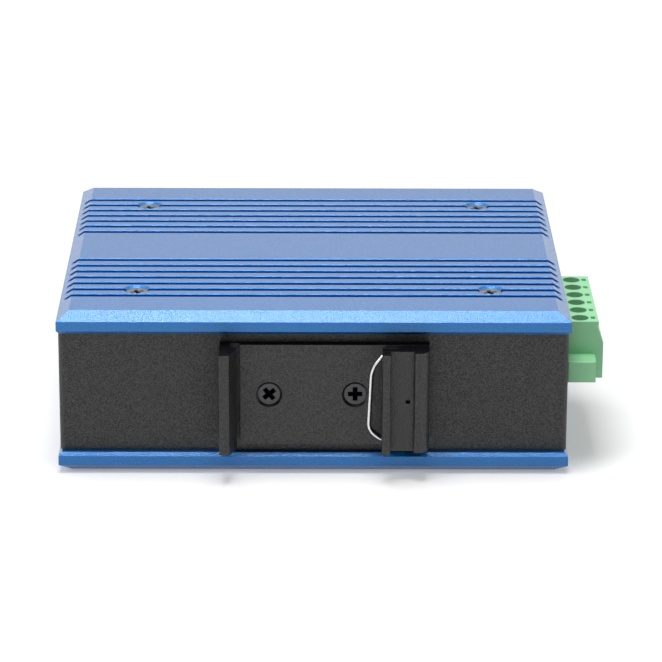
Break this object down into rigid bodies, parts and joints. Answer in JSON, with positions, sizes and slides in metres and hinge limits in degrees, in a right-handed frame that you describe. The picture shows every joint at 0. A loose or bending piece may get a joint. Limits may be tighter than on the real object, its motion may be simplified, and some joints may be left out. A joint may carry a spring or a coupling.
{
  "type": "industrial media converter",
  "caption": "Slim rail-mount copper-to-fibre media converter with finned side panels, a sprung rail clip, a pluggable power terminal and front ports.",
  "frame": {"origin": "centre of the lower finned panel's resting face", "axes": "+X along the long side towards the terminal, +Y from the rail clip to the ports, +Z through the thickness, away from the face it lies on"},
  "size_m": [0.1147, 0.0999, 0.035],
  "materials": {
    "blue_anodised": "bead-blasted, satin anodised",
    "black_powder_coat": "matt, fine texture",
    "black_anodised": "matt anodised",
    "blackened_steel": "satin black zinc",
    "plated_steel": "satin nickel",
    "plated_brass": "nickel plated",
    "spring_wire": "bright drawn",
    "board_laminate": "solder mask, satin",
    "green_plastic": "satin moulded",
    "tinned_copper": "bright tin",
    "tinned_shield": "satin tin",
    "gold_contact": "gold flash",
    "black_plastic": "satin moulded",
    "switch_red": "moulded",
    "lever_white": "moulded",
    "lamp_green": "diffused lens",
    "chip_black": "moulded",
    "relay_white": "moulded",
    "ferrite_grey": "sintered",
    "capacitor_can": "sleeved can"
  },
  "bodies": {
    "converter": {"upper_fin_panel": "blue_anodised", "lower_fin_panel": "blue_anodised", "upper_panel_screws": "plated_steel", "lower_panel_screws": "plated_steel", "housing_shell": "black_powder_coat", "front_cover": "black_powder_coat", "cover_screws": "blackened_steel", "clip_base": "black_anodised", "clip_screws": "blackened_steel", "jaw_spring": "spring_wire", "circuit_board": "board_laminate", "board_standoffs": "plated_brass", "board_screws": "plated_steel", "terminal_header": "green_plastic", "header_pins": "tinned_copper", "mode_switch": "switch_red", "earth_washer": "plated_steel", "earth_screw": "plated_steel", "rj45_shield": "tinned_shield", "rj45_insert": "black_plastic", "rj45_contacts": "gold_contact", "module_cage": "tinned_shield", "module_socket": "black_plastic", "status_lamps": "lamp_green", "lamp_leads": "tinned_copper", "switch_chip": "chip_black", "phy_chip": "chip_black", "line_transformer": "chip_black", "alarm_relay": "relay_white", "clock_crystal": "tinned_shield", "power_inductors": "ferrite_grey", "smoothing_capacitors": "capacitor_can"},
    "rail_jaw": {"rail_jaw": "black_anodised", "guide_pins": "plated_steel"},
    "terminal_plug": {"terminal_plug": "green_plastic", "plug_contacts": "tinned_copper", "clamp_cages": "plated_brass", "clamp_screws": "plated_steel"},
    "mode_lever_1": {"mode_lever_1": "lever_white"},
    "mode_lever_2": {"mode_lever_2": "lever_white"},
    "mode_lever_3": {"mode_lever_3": "lever_white"},
    "mode_lever_4": {"mode_lever_4": "lever_white"}
  },
  "joints": [
    {"name": "rail_jaw_slide", "type": "slide", "parent": "converter", "child": "rail_jaw", "axis": [1, 0, 0], "range_m": [0, 0.0035], "stiffness_N_per_m": 1200, "springref_m": -0.004, "deforming": ["jaw_spring"]},
    {"name": "terminal_plug_pull", "type": "slide", "parent": "converter", "child": "terminal_plug", "axis": [1, 0, 0], "range_m": [0, 0.0105]},
    {"name": "mode_lever_1_slide", "type": "slide", "parent": "converter", "child": "mode_lever_1", "axis": [0, 0, 1], "range_m": [0, 0.0013]},
    {"name": "mode_lever_2_slide", "type": "slide", "parent": "converter", "child": "mode_lever_2", "axis": [0, 0, 1], "range_m": [0, 0.0013]},
    {"name": "mode_lever_3_slide", "type": "slide", "parent": "converter", "child": "mode_lever_3", "axis": [0, 0, 1], "range_m": [0, 0.0013]},
    {"name": "mode_lever_4_slide", "type": "slide", "parent": "converter", "child": "mode_lever_4", "axis": [0, 0, 1], "range_m": [0, 0.0013]}
  ]
}
